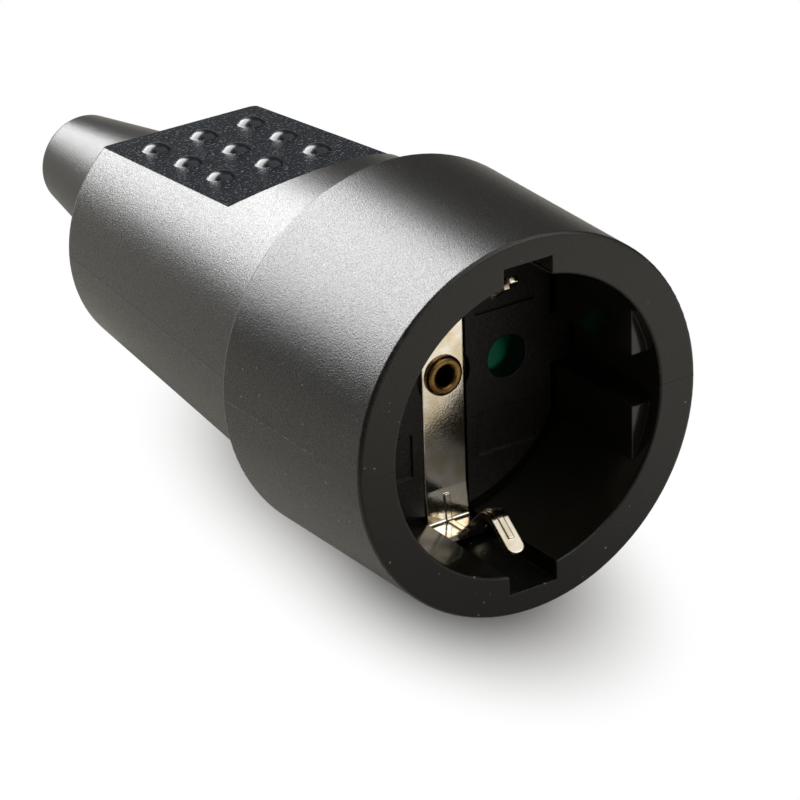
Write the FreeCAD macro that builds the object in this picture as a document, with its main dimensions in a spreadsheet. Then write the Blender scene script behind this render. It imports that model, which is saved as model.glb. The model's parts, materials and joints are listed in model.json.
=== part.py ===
import FreeCAD, Part
import math
import os
import Sketcher

# Inline socket connector for a mains cord. Millimetres.
# The pieces are drawn about the socket's axis: x to the right seen from the mouth, y from the mouth to the
# rear, z up. The whole connector is then tipped back into the pose in which it lies on a table.

SIZES = {
    # Outline of the moulded body
    "rim_radius": 24.8,
    "collar_radius": 25.25,
    "collar_length": 29.7,
    "handle_front_radius": 22.4,
    "handle_rear_radius": 18.0,
    "handle_end": 79.2,
    "rear_wall": 3.0,
    "mouth_round": 0.3,
    "rim_round": 0.5,
    "collar_round": 0.6,
    "collar_land": 0.05,
    "handle_round": 0.8,
    # Recess for the plug
    "recess_radius": 19.5,
    "recess_depth": 18.4,
    "flat_half_width": 16.6,
    "left_flat_start": 4.6,
    "right_flat_start": 2.0,
    "guide_groove_width": 7.0,
    "guide_groove_rise": 0.6,
    "notch_side_gap": 0.45,
    "notch_back_gap": 1.0,
    # Grip panels with domes
    "panel_depth": 4.45,
    "panel_wall": 2.0,
    "panel_front": 46.4,
    "ramp_angle": 36.9,
    "dome_radius": 1.9,
    "dome_height": 0.9,
    "dome_sink": 0.4,
    "dome_pitch_across": 7.3,
    "dome_pitch_along": 7.95,
    "dome_rear_row": 72.8,
    "cut_overrun": 1.0,
    # Face insert
    "boss_height": 1.0,
    "flange_thickness": 2.0,
    "flange_radius": 20.8,
    "face_edge_gap": 0.7,
    "face_side_gap": 0.5,
    "face_tab_gap": 0.4,
    "seat_gap": 0.15,
    "pin_spacing": 19.0,
    "pin_hole_radius": 2.9,
    "relief_depth": 0.6,
    "field_across": 9.35,
    "field_off": 9.6,
    "field_width": 8.8,
    "field_height": 5.8,
    "field_depth": 0.3,
    # Earth strap with its clips
    "strap_width": 6.2,
    "strap_thickness": 0.8,
    "strap_reach": 20.3,
    "strap_side_gap": 0.2,
    "crease_reach": 15.5,
    "crease_lean": 0.6,
    "shelf_length": 4.2,
    "finger_width": 2.4,
    "finger_tip_round": 1.1,
    "clip_peak_depth": 8.3,
    "clip_peak_reach": 14.3,
    "clip_tip_depth": 3.2,
    "clip_tip_reach": 18.4,
    "strap_bend": 0.9,
    "clip_bend": 1.8,
    "rib_start": 16.3,
    "rib_width": 0.8,
    "rib_height": 0.2,
    "rib_tip_gap": 2.0,
    # Centre rivet
    "rivet_radius": 1.6,
    "rivet_wall": 0.3,
    "rivet_head_radius": 2.65,
    "rivet_head_thickness": 0.7,
    "rivet_head_round": 0.5,
    "rivet_flare_radius": 2.4,
    "rivet_flare_thickness": 0.5,
    "rivet_hole_gap": 0.05,
    # Contact base
    "base_radius": 18.0,
    "base_length": 19.6,
    "shutter_pocket_radius": 14.4,
    "shutter_pocket_depth": 3.6,
    "contact_channel_gap": 0.5,
    "earth_pocket_gap": 0.1,
    "earth_pocket_length": 10.0,
    # Shutter and its spring
    "shutter_front_gap": 0.7,
    "shutter_thickness": 2.3,
    "shutter_ramp": 1.3,
    "shutter_hub_radius": 4.2,
    "shutter_wing_width": 6.8,
    "shutter_wing_gap": 1.0,
    "shutter_lug_width": 3.0,
    "shutter_lug_reach": 11.4,
    "spring_radius": 1.0,
    "spring_wire": 0.35,
    "spring_height": 7.0,
    "spring_end": 11.4,
    "spring_turns": 6.0,
    # Contacts and terminals
    "contact_gap": 4.9,
    "contact_thickness": 0.8,
    "contact_height": 5.0,
    "contact_front_gap": 1.2,
    "contact_length": 8.2,
    "contact_flare": 0.4,
    "contact_lip_length": 1.2,
    "contact_lip_bend": 1.0,
    "contact_bend": 0.5,
    "terminal_width": 7.0,
    "terminal_height": 6.0,
    "terminal_setback": 0.8,
    "wire_hole_radius": 1.7,
    "tail_thickness": 0.8,
    "tail_width": 6.0,
    # Screws
    "screw_radius": 1.25,
    "screw_hole_gap": 0.05,
    "screw_head_radius": 2.2,
    "screw_head_thickness": 1.5,
    "screw_slot_width": 0.6,
    "screw_slot_depth": 0.7,
    "terminal_screw_tip": 1.0,
    "post_wall": 0.7,
    "post_across": 8.6,
    "post_along": 51.0,
    "shell_screw_seat": 9.5,
    "shell_screw_tip": 7.5,
    "pilot_spare": 1.0,
    "head_gap": 0.3,
    # Cord clamp
    "clamp_along": 63.5,
    "clamp_length": 7.0,
    "clamp_side_gap": 2.4,
    "clamp_thickness": 2.6,
    "clamp_bite": 0.6,
    "clamp_screw_margin": 3.0,
    "clamp_screw_tip": 7.0,
    "saddle_gap": 0.2,
    # Cable sleeve
    "cable_radius": 4.2,
    "sleeve_neck_radius": 8.4,
    "sleeve_flange_gap": 1.2,
    "sleeve_flange_thickness": 2.2,
    "sleeve_root_radius": 10.8,
    "sleeve_end_radius": 6.4,
    "sleeve_end": 106.2,
    "sleeve_round": 1.2,
}

doc = FreeCAD.newDocument("inline_socket_connector")
sheet = doc.addObject("Spreadsheet::Sheet", "dim")
for row, (alias, number) in enumerate(SIZES.items(), start=1):
    sheet.set(f"A{row}", alias)
    sheet.set(f"B{row}", str(number))
    sheet.setAlias(f"B{row}", alias)
doc.recompute()


class Size:
    """A length that knows both its value and the sheet expression that it comes from."""

    def __init__(self, text, value):
        self.text = text
        self.value = value

    def __add__(self, other):
        other = as_size(other)
        return Size(f"({self.text} + {other.text})", self.value + other.value)

    def __sub__(self, other):
        other = as_size(other)
        return Size(f"({self.text} - {other.text})", self.value - other.value)

    def __rsub__(self, other):
        return as_size(other) - self

    def __mul__(self, other):
        other = as_size(other)
        return Size(f"({self.text} * {other.text})", self.value * other.value)

    def __truediv__(self, other):
        other = as_size(other)
        return Size(f"({self.text} / {other.text})", self.value / other.value)

    def __neg__(self):
        return Size(f"(-1 * {self.text})", -self.value)

    __radd__ = __add__
    __rmul__ = __mul__

    def least(self, other):
        other = as_size(other)
        return Size(f"min({self.text}; {other.text})", min(self.value, other.value))

    def leg(self, other):
        text = f"sqrt({self.text} * {self.text} - {other.text} * {other.text})"
        return Size(text, math.sqrt(self.value**2 - other.value**2))

    def tangent(self):
        return Size(f"tan({self.text} * 1 deg)", math.tan(math.radians(self.value)))

    def arc_sine(self):
        return Size(f"asin({self.text})", math.degrees(math.asin(self.value)))


def as_size(value):
    return value if isinstance(value, Size) else Size(f"{value:g}", float(value))


class Sheet:
    """Reads the driving dimensions back from the spreadsheet by name."""

    def __getattr__(self, alias):
        return Size(f"dim.{alias}", float(sheet.get(alias)))


dim = Sheet()

# Places along the axis that several pieces share
flange_front = dim.recess_depth + dim.boss_height
plate_rear = flange_front + dim.flange_thickness
strap_front = flange_front - dim.strap_thickness
strap_middle = strap_front + dim.strap_thickness / 2
shutter_front = plate_rear + dim.shutter_front_gap
shutter_floor = plate_rear + dim.shutter_pocket_depth
contact_front = shutter_floor + dim.contact_front_gap
contact_web = contact_front + dim.contact_length
web_rear = contact_web + dim.contact_thickness / 2
base_end = plate_rear + dim.base_length
earth_pocket_start = base_end - dim.earth_pocket_length
terminal_end = base_end - dim.terminal_setback
inner_rear = dim.handle_end - dim.rear_wall
clamp_rear = dim.clamp_along + dim.clamp_length / 2
clamp_seat = dim.cable_radius - dim.clamp_bite
saddle_drop = dim.cable_radius + dim.saddle_gap
pin_across = dim.pin_spacing / 2
rivet_bore_radius = dim.rivet_radius - dim.rivet_wall
collar_round = dim.collar_round.least(dim.collar_radius - dim.handle_front_radius - dim.collar_land)
taper = (dim.handle_front_radius - dim.handle_rear_radius) / (dim.handle_end - dim.collar_length)


def handle_radius(along):
    return dim.handle_front_radius - taper * (along - dim.collar_length)


def panel_level(along):
    return handle_radius(along) - dim.panel_depth


def cavity_radius(along):
    return panel_level(along) - dim.panel_wall


clamp_half_width = cavity_radius(clamp_rear) - dim.clamp_side_gap
clamp_screw_across = clamp_half_width - dim.clamp_screw_margin


# Drawing helpers

def new_body(label):
    return doc.addObject("PartDesign::Body", label)


def sketch(body, name, role, lift=0):
    drawing = body.newObject("Sketcher::SketchObject", name)
    plane = next(item for item in body.Origin.OriginFeatures if item.Role == role)
    drawing.AttachmentSupport = [(plane, "")]
    drawing.MapMode = "FlatFace"
    drawing.setExpression("AttachmentOffset.Base.z", as_size(lift).text)
    return drawing


def pin_point(drawing, item, end, across, along):
    for kind, size, axis in (("DistanceX", across, -2), ("DistanceY", along, -1)):
        size = as_size(size)
        if size.text == "0":
            drawing.addConstraint(Sketcher.Constraint("PointOnObject", item, end, axis))
        else:
            index = drawing.addConstraint(Sketcher.Constraint(kind, -1, 1, item, end, size.value))
            drawing.setExpression(f"Constraints[{index}]", size.text)


def outline(drawing, corners):
    first = drawing.GeometryCount
    spots = [FreeCAD.Vector(as_size(u).value, as_size(v).value, 0) for u, v in corners]
    for index, spot in enumerate(spots):
        drawing.addGeometry(Part.LineSegment(spot, spots[(index + 1) % len(spots)]))
    for index in range(len(spots)):
        after = first + (index + 1) % len(spots)
        drawing.addConstraint(Sketcher.Constraint("Coincident", first + index, 2, after, 1))
    for index, (across, along) in enumerate(corners):
        pin_point(drawing, first + index, 1, across, along)


def rectangle(drawing, left, low, right, high):
    outline(drawing, [(left, low), (right, low), (right, high), (left, high)])


def disc(drawing, across, along, radius):
    spot = FreeCAD.Vector(as_size(across).value, as_size(along).value, 0)
    item = drawing.addGeometry(Part.Circle(spot, FreeCAD.Vector(0, 0, 1), radius.value))
    index = drawing.addConstraint(Sketcher.Constraint("Radius", item, radius.value))
    drawing.setExpression(f"Constraints[{index}]", radius.text)
    pin_point(drawing, item, 3, across, along)


def revolve(body, name, drawing, angle=360, other_way=False):
    turned = body.newObject("PartDesign::Revolution", name)
    turned.Profile = drawing
    turned.ReferenceAxis = (drawing, ["V_Axis"])
    turned.Angle = angle
    turned.Reversed = other_way
    doc.recompute()
    return turned


def pad(body, name, drawing, length, other_way=False, both=False):
    return extrude(body, "PartDesign::Pad", name, drawing, length, other_way, both)


def pocket(body, name, drawing, length, other_way=False, both=False):
    before = body.Shape.Volume
    feature = extrude(body, "PartDesign::Pocket", name, drawing, length, other_way, both)
    if body.Shape.Volume >= before:
        raise RuntimeError(f"{name} cuts nothing")
    return feature


def extrude(body, kind, name, drawing, length, other_way, both):
    feature = body.newObject(kind, name)
    feature.Profile = drawing
    feature.setExpression("Length", as_size(length).text)
    feature.Reversed = other_way
    feature.Midplane = both
    doc.recompute()
    return feature


def round_rings(body, name, radius, rings):
    """Rounds the circular edges found at each (radius, along) pair."""
    base = body.Tip
    edges = []
    for index, edge in enumerate(base.Shape.Edges, start=1):
        curve = edge.Curve
        if not isinstance(curve, Part.Circle):
            continue
        for ring_radius, along in rings:
            same_radius = abs(curve.Radius - as_size(ring_radius).value) < 1e-5
            if same_radius and abs(curve.Center.y - as_size(along).value) < 1e-5:
                edges.append(f"Edge{index}")
    fillet = body.newObject("PartDesign::Fillet", name)
    fillet.Base = (base, edges)
    fillet.setExpression("Radius", as_size(radius).text)
    doc.recompute()
    return fillet


def put(solid, corner, turn=FreeCAD.Rotation()):
    spot = FreeCAD.Vector(*(as_size(value).value for value in corner))
    solid.Placement = FreeCAD.Placement(spot, turn)
    for axis, value in zip("xyz", corner):
        solid.setExpression(f"Placement.Base.{axis}", as_size(value).text)


AXIS_TURN = {
    "x": FreeCAD.Rotation(FreeCAD.Vector(0, 1, 0), 90),
    "y": FreeCAD.Rotation(FreeCAD.Vector(1, 0, 0), -90),
    "z": FreeCAD.Rotation(),
}


def cylinder(name, radius, length, start, axis="y"):
    solid = doc.addObject("Part::Cylinder", name)
    solid.setExpression("Radius", as_size(radius).text)
    solid.setExpression("Height", as_size(length).text)
    put(solid, start, AXIS_TURN[axis])
    return solid


def box(name, low, high):
    solid = doc.addObject("Part::Box", name)
    for side, start, end in zip(("Length", "Width", "Height"), low, high):
        solid.setExpression(side, (as_size(end) - as_size(start)).text)
    put(solid, low)
    return solid


def fuse(name, solids):
    joined = doc.addObject("Part::MultiFuse", name)
    joined.Shapes = solids
    joined.Refine = True
    return joined


def cut(name, base, tools):
    rest = doc.addObject("Part::Cut", name)
    rest.Base = base
    rest.Tool = fuse(f"{name}_tools", tools) if len(tools) > 1 else tools[0]
    rest.Refine = True
    return rest


def bent_path(corners, bends):
    """Wire through the corners, with a tangent arc of the given radius at each inner one."""
    edges = []
    start = corners[0]
    for before, corner, after, bend in zip(corners, corners[1:], corners[2:], bends):
        back = (before - corner).normalize()
        ahead = (after - corner).normalize()
        half = back.getAngle(ahead) / 2
        first = corner + back * (bend / math.tan(half))
        last = corner + ahead * (bend / math.tan(half))
        middle = (back + ahead).normalize()
        crown = corner + middle * (bend / math.sin(half) - bend)
        edges.append(Part.LineSegment(start, first).toShape())
        edges.append(Part.Arc(first, crown, last).toShape())
        start = last
    edges.append(Part.LineSegment(start, corners[-1]).toShape())
    return Part.Wire(edges)


def moved(shape, step, turn=FreeCAD.Rotation()):
    """Copy of a shape with the move worked into its geometry."""
    return shape.transformed(FreeCAD.Placement(step, turn).toMatrix(), copy=True)


def folded_sheet(corners, bends, thickness, width_axis, middle, width, raised=0):
    """Strip of sheet metal whose middle line follows the corners, thicker on one side where it is raised."""
    line = bent_path(corners, bends)
    hand = -1 if raised < 0 else 1
    side = line.makeOffset2D(-hand * thickness / 2, join=0, fill=False, openResult=True)
    face = side.makeOffset2D(hand * thickness + raised, join=0, fill=True, openResult=True)
    strip = face.extrude(width_axis * width)
    return moved(strip, width_axis * (middle - width / 2))


def shape_piece(label, shape):
    piece = doc.addObject("Part::Feature", label)
    piece.Shape = shape
    return piece


# The moulded half shells

def shell(label, side):
    """One half of the body: side is 1 for the upper half and -1 for the lower."""
    body = new_body(label)
    profile = sketch(body, f"{label}_profile", "XY_Plane")
    hole = dim.sleeve_neck_radius + dim.seat_gap
    seat = dim.base_radius + dim.seat_gap
    groove = dim.flange_radius + dim.seat_gap
    outline(profile, [
        (dim.recess_radius, 0),
        (dim.rim_radius, 0),
        (dim.collar_radius, dim.collar_length),
        (dim.handle_front_radius, dim.collar_length),
        (dim.handle_rear_radius, dim.handle_end),
        (hole, dim.handle_end),
        (hole, inner_rear),
        (cavity_radius(inner_rear), inner_rear),
        (cavity_radius(base_end), base_end),
        (seat, base_end),
        (seat, plate_rear),
        (groove, plate_rear),
        (groove, flange_front),
        (dim.recess_radius, flange_front),
    ])
    revolve(body, f"{label}_half", profile, angle=180, other_way=side > 0)
    round_rings(body, f"{label}_rim_round", dim.rim_round, [(dim.rim_radius, 0)])
    round_rings(body, f"{label}_mouth_round", dim.mouth_round, [(dim.recess_radius, 0)])
    round_rings(body, f"{label}_collar_round", collar_round, [(dim.collar_radius, dim.collar_length)])
    round_rings(body, f"{label}_handle_round", dim.handle_round, [(dim.handle_rear_radius, dim.handle_end)])
    recess_flats(body, label, side)
    grip_panel(body, label, side)
    return body


def recess_flats(body, label, side):
    """Flats beside the guide groove, and the notch for the earth clip."""
    outer = dim.recess_radius + dim.cut_overrun
    top = side * (dim.recess_radius.leg(dim.flat_half_width) + dim.cut_overrun)
    low = side * (dim.guide_groove_width / 2) + dim.guide_groove_rise
    for hand, name, start in ((-1, "left", dim.left_flat_start), (1, "right", dim.right_flat_start)):
        flat = sketch(body, f"{label}_{name}_flat", "XZ_Plane", -start)
        rectangle(flat, hand * dim.flat_half_width, low, hand * outer, top)
        pad(body, f"{label}_{name}_flat_pad", flat, flange_front - start, other_way=True)
    notch = sketch(body, f"{label}_notch", "XZ_Plane")
    half = dim.strap_width / 2 + dim.notch_side_gap
    reach = dim.strap_reach + dim.strap_thickness / 2 + dim.notch_back_gap
    rectangle(notch, -half, -reach, half, reach)
    pocket(body, f"{label}_notch_cut", notch, flange_front)


def grip_panel(body, label, side):
    """Flat panel cut parallel to the handle's taper, with a ramp at its front and nine domes."""
    behind = dim.handle_end + dim.cut_overrun
    level = panel_level(dim.panel_front)
    ramp_run = (dim.collar_radius - level) / dim.ramp_angle.tangent()
    panel = sketch(body, f"{label}_panel", "YZ_Plane")
    outline(panel, [
        (dim.panel_front, side * level),
        (behind, side * panel_level(behind)),
        (behind, side * dim.collar_radius),
        (dim.panel_front - ramp_run, side * dim.collar_radius),
    ])
    pocket(body, f"{label}_panel_cut", panel, 2 * dim.collar_radius, both=True)
    ball = (dim.dome_radius * dim.dome_radius + dim.dome_height * dim.dome_height) / (2 * dim.dome_height)
    latitude = ((ball - dim.dome_height - dim.dome_sink) / ball).arc_sine()
    up = FreeCAD.Rotation(FreeCAD.Vector(1, 0, 0), 0 if side > 0 else 180)
    for row in range(3):
        along = dim.dome_rear_row - row * dim.dome_pitch_along
        for column in (-1, 0, 1):
            dome = body.newObject("PartDesign::AdditiveSphere", f"{label}_dome_{row}_{column + 1}")
            dome.setExpression("Radius", ball.text)
            dome.setExpression("Angle1", latitude.text)
            height = side * (panel_level(along) + dim.dome_height - ball)
            put(dome, (column * dim.dome_pitch_across, along, height), up)
            doc.recompute()


def screw_post(body, label, side):
    """Posts that meet at the split line, one pair in each half."""
    posts = sketch(body, f"{label}_posts", "XY_Plane")
    radius = dim.screw_head_radius + dim.head_gap + dim.post_wall
    for hand in (-1, 1):
        disc(posts, hand * dim.post_across, dim.post_along, radius)
    reach = panel_level(dim.post_along) - dim.panel_wall / 2
    pad(body, f"{label}_post_pads", posts, reach, other_way=side < 0)


def upper_shell():
    body = shell("upper_shell", 1)
    screw_post(body, "upper_shell", 1)
    pilots = sketch(body, "upper_shell_pilots", "XY_Plane")
    for hand in (-1, 1):
        disc(pilots, hand * dim.post_across, dim.post_along, dim.screw_radius + dim.screw_hole_gap)
    pocket(body, "upper_shell_pilot_holes", pilots, dim.shell_screw_tip + dim.pilot_spare, other_way=True)
    return body


def lower_shell():
    body = shell("lower_shell", -1)
    screw_post(body, "lower_shell", -1)
    saddle = sketch(body, "lower_shell_saddle", "XY_Plane", -saddle_drop)
    half = dim.clamp_length / 2
    rectangle(saddle, -clamp_half_width, dim.clamp_along - half, clamp_half_width, dim.clamp_along + half)
    floor = panel_level(dim.clamp_along) - dim.panel_wall / 2
    pad(body, "lower_shell_saddle_pad", saddle, floor - saddle_drop, other_way=True)
    stands = sketch(body, "lower_shell_stands", "XY_Plane", clamp_seat)
    for hand in (-1, 1):
        disc(stands, hand * clamp_screw_across, dim.clamp_along, clamp_half_width - clamp_screw_across)
    pad(body, "lower_shell_stand_pads", stands, clamp_seat + saddle_drop + dim.cut_overrun, other_way=True)
    clamp_holes = sketch(body, "lower_shell_clamp_holes", "XY_Plane", clamp_seat)
    screw_holes = sketch(body, "lower_shell_screw_holes", "XY_Plane")
    head_holes = sketch(body, "lower_shell_head_holes", "XY_Plane", -dim.shell_screw_seat)
    for hand in (-1, 1):
        disc(clamp_holes, hand * clamp_screw_across, dim.clamp_along, dim.screw_radius + dim.screw_hole_gap)
        disc(screw_holes, hand * dim.post_across, dim.post_along, dim.screw_radius + dim.screw_hole_gap)
        disc(head_holes, hand * dim.post_across, dim.post_along, dim.screw_head_radius + dim.head_gap)
    pocket(body, "lower_shell_clamp_pilots", clamp_holes, clamp_seat + dim.clamp_screw_tip + dim.pilot_spare)
    pocket(body, "lower_shell_screw_bores", screw_holes, dim.collar_radius)
    pocket(body, "lower_shell_head_bores", head_holes, dim.collar_radius)
    return body


def cable_sleeve():
    """Soft sleeve whose inner flange is held behind the shells' rear wall."""
    body = new_body("cable_sleeve")
    profile = sketch(body, "cable_sleeve_profile", "XY_Plane")
    flange_rear = inner_rear - dim.seat_gap
    flange_radius = cavity_radius(inner_rear) - dim.sleeve_flange_gap
    outline(profile, [
        (dim.cable_radius, flange_rear - dim.sleeve_flange_thickness),
        (flange_radius, flange_rear - dim.sleeve_flange_thickness),
        (flange_radius, flange_rear),
        (dim.sleeve_neck_radius, flange_rear),
        (dim.sleeve_neck_radius, dim.handle_end + dim.seat_gap),
        (dim.sleeve_root_radius, dim.handle_end + dim.seat_gap),
        (dim.sleeve_end_radius, dim.sleeve_end),
        (dim.cable_radius, dim.sleeve_end),
    ])
    revolve(body, "cable_sleeve_turn", profile)
    round_rings(body, "cable_sleeve_end_round", dim.sleeve_round, [(dim.sleeve_end_radius, dim.sleeve_end)])
    return body


# The face and what lies on it

def contact_plate():
    depth = dim.recess_depth
    radius = dim.recess_radius - dim.face_edge_gap
    disc_face = cylinder("face_disc", radius, dim.boss_height, (0, depth, 0))
    width = dim.flat_half_width - dim.face_side_gap
    band = box("face_band", (-width, depth, -radius), (width, flange_front, radius))
    trimmed = doc.addObject("Part::Common", "face_trimmed")
    trimmed.Base = disc_face
    trimmed.Tool = band
    reach = dim.recess_radius - dim.face_tab_gap
    tab = dim.guide_groove_width / 2 - dim.seat_gap
    rise = dim.guide_groove_rise
    tabs = box("face_tabs", (-reach, depth, rise - tab), (reach, flange_front, rise + tab))
    flange = cylinder("face_flange", dim.flange_radius, dim.flange_thickness, (0, flange_front, 0))
    solid = fuse("face_solid", [trimmed, tabs, flange])
    slot = dim.strap_width / 2 + dim.strap_side_gap
    tools = [
        box("face_channel", (-slot, depth, -dim.recess_radius), (slot, flange_front, dim.recess_radius)),
        cylinder("face_relief", slot + dim.relief_depth, dim.boss_height, (0, depth, 0)),
        cylinder("face_rivet_hole", dim.rivet_radius + dim.rivet_hole_gap, plate_rear - depth, (0, depth, 0)),
    ]
    for hand, name in ((-1, "left"), (1, "right")):
        pin = (hand * pin_across, depth, 0)
        tools.append(cylinder(f"face_{name}_pin_hole", dim.pin_hole_radius, plate_rear - depth, pin))
        middle = hand * dim.field_across
        for side, end in ((1, "upper"), (-1, "lower")):
            level = side * dim.field_off
            low = (middle - dim.field_width / 2, depth, level - dim.field_height / 2)
            high = (middle + dim.field_width / 2, depth + dim.field_depth, level + dim.field_height / 2)
            tools.append(box(f"face_{end}_{name}_field", low, high))
    return cut("contact_plate", solid, tools)


def earth_strap():
    """Strip creased and folded at both ends, each with a shelf, a sprung finger and a rib along the middle."""
    across = FreeCAD.Vector(1, 0, 0)
    thickness = dim.strap_thickness.value
    middle = strap_middle.value
    fold = middle - dim.crease_lean.value
    shoulder = fold - dim.shelf_length.value
    reach = dim.strap_reach.value
    crease = dim.crease_reach.value
    strap_bend = dim.strap_bend.value
    clip_bend = dim.clip_bend.value
    ends = []
    for side in (1, -1):
        ends.append([
            FreeCAD.Vector(0, shoulder, side * reach),
            FreeCAD.Vector(0, fold, side * reach),
            FreeCAD.Vector(0, middle, side * crease),
        ])
    strip_bends = [strap_bend] * 4
    strip = folded_sheet(ends[0] + ends[1][::-1], strip_bends, thickness, across, 0, dim.strap_width.value)
    solids = []
    for side, (turn, heel, bow) in zip((1, -1), ends):
        peak = FreeCAD.Vector(0, dim.clip_peak_depth.value, side * dim.clip_peak_reach.value)
        tip = FreeCAD.Vector(0, dim.clip_tip_depth.value, side * dim.clip_tip_reach.value)
        bends = [clip_bend, clip_bend]
        finger = folded_sheet([heel, turn, peak, tip], bends, thickness, across, 0, dim.finger_width.value)
        slope = (tip - peak).normalize()
        solids.append(round_tip(finger, tip, slope, dim.finger_tip_round.value))
        lean = (heel - bow).normalize()
        start = bow + lean * (dim.rib_start - dim.crease_reach).value
        rib_end = tip - slope * dim.rib_tip_gap.value
        bends = [strap_bend, clip_bend, clip_bend]
        rib_line = [start, heel, turn, peak, rib_end]
        raised = -side * dim.rib_height.value
        solids.append(folded_sheet(rib_line, bends, thickness, across, 0, dim.rib_width.value, raised))
    strap = strip.multiFuse(solids)
    hole = Part.makeCylinder(
        (dim.rivet_radius + dim.rivet_hole_gap).value, 2 * thickness,
        FreeCAD.Vector(0, middle - thickness, 0), FreeCAD.Vector(0, 1, 0))
    return shape_piece("earth_strap", strap.cut(hole).removeSplitter())


def round_tip(finger, tip, slope, radius):
    """Rounds the two corners at the end of a finger that points along the slope."""
    corners = []
    for edge in finger.Edges:
        spots = [vertex.Point - tip for vertex in edge.Vertexes]
        at_end = all(abs(spot.dot(slope)) < 1e-4 and spot.Length < finger.BoundBox.XLength for spot in spots)
        if at_end and abs(spots[0].x - spots[-1].x) < 1e-4:
            corners.append(edge)
    return finger.makeFillet(radius, corners)


def centre_rivet():
    """Hollow rivet through strap, face, shutter, base and earth tail."""
    body = new_body("centre_rivet")
    profile = sketch(body, "centre_rivet_profile", "XY_Plane")
    head = strap_front - dim.rivet_head_thickness
    tail = earth_pocket_start + dim.tail_thickness
    flare = tail + dim.rivet_flare_thickness
    outline(profile, [
        (rivet_bore_radius, head),
        (dim.rivet_head_radius, head),
        (dim.rivet_head_radius, strap_front),
        (dim.rivet_radius, strap_front),
        (dim.rivet_radius, tail),
        (dim.rivet_flare_radius, tail),
        (dim.rivet_flare_radius, flare),
        (rivet_bore_radius, flare),
    ])
    revolve(body, "centre_rivet_turn", profile)
    rings = [(dim.rivet_head_radius, head), (rivet_bore_radius, head)]
    round_rings(body, "centre_rivet_round", dim.rivet_head_round, rings)
    return body


def contact_base():
    block = cylinder("base_block", dim.base_radius, base_end - plate_rear - dim.seat_gap, (0, plate_rear, 0))
    length = base_end - plate_rear
    tools = [
        cylinder("base_pocket", dim.shutter_pocket_radius, dim.shutter_pocket_depth, (0, plate_rear, 0)),
        cylinder("base_rivet_hole", dim.rivet_radius + dim.rivet_hole_gap, length, (0, plate_rear, 0)),
    ]
    half = dim.terminal_width / 2 + dim.earth_pocket_gap
    floor = dim.terminal_height / 2 + dim.tail_thickness + dim.seat_gap
    low = (-half, earth_pocket_start, -floor)
    high = (half, base_end, dim.base_radius)
    tools.append(box("base_earth_pocket", low, high))
    width = dim.terminal_width / 2 + dim.contact_channel_gap
    height = dim.terminal_height / 2 + dim.contact_channel_gap
    for hand, name in ((-1, "left"), (1, "right")):
        middle = hand * pin_across
        low = (middle - width, shutter_floor, -height)
        high = (middle + width, base_end, height)
        tools.append(box(f"base_{name}_channel", low, high))
        reach = dim.screw_head_radius + dim.head_gap
        low = (middle - reach, web_rear, 0)
        high = (middle + reach, base_end, dim.base_radius)
        tools.append(box(f"base_{name}_access", low, high))
    return cut("contact_base", block, tools)


# The shutter and its spring

def shutter():
    """Disc hub with two sloped wings over the pin holes and a lug for the spring."""
    body = new_body("shutter")
    rear = shutter_front + dim.shutter_thickness
    hub = sketch(body, "shutter_hub", "XZ_Plane", -shutter_front)
    disc(hub, 0, 0, dim.shutter_hub_radius)
    pad(body, "shutter_hub_pad", hub, dim.shutter_thickness, other_way=True)
    half = dim.shutter_wing_width / 2
    reach = dim.shutter_pocket_radius - dim.shutter_wing_gap
    for hand, name in ((1, "right"), (-1, "left")):
        wing = sketch(body, f"shutter_{name}_wing", "YZ_Plane")
        outline(wing, [
            (shutter_front, -hand * half),
            (shutter_front + dim.shutter_ramp, hand * half),
            (rear, hand * half),
            (rear, -hand * half),
        ])
        pad(body, f"shutter_{name}_wing_pad", wing, reach, other_way=hand < 0)
    lug = sketch(body, "shutter_lug", "XZ_Plane", -shutter_front)
    width = dim.shutter_lug_width / 2
    rectangle(lug, -width, 0, width, dim.shutter_lug_reach)
    pad(body, "shutter_lug_pad", lug, dim.shutter_thickness, other_way=True)
    bore = sketch(body, "shutter_bore", "XZ_Plane", -shutter_front)
    disc(bore, 0, 0, dim.rivet_radius + dim.rivet_hole_gap)
    pocket(body, "shutter_bore_cut", bore, dim.shutter_thickness)
    return body


def shutter_spring():
    """Compression spring between the shutter's lug and the wall of its pocket."""
    start = dim.shutter_lug_width.value / 2 + dim.rivet_hole_gap.value
    radius = dim.spring_radius.value
    wire = dim.spring_wire.value
    length = dim.spring_end.value - start - wire
    helix = Part.makeHelix(length / dim.spring_turns.value, length, radius)
    section = Part.Wire(Part.makeCircle(wire / 2, FreeCAD.Vector(radius, 0, 0), FreeCAD.Vector(0, 1, 0)))
    coil = Part.Wire(helix).makePipeShell([section], True, True)
    middle = shutter_front.value + dim.shutter_thickness.value / 2
    spot = FreeCAD.Vector(start + wire / 2, middle, dim.spring_height.value)
    return shape_piece("shutter_spring", moved(coil, spot, AXIS_TURN["x"]))


# Contacts, terminals and screws

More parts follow.
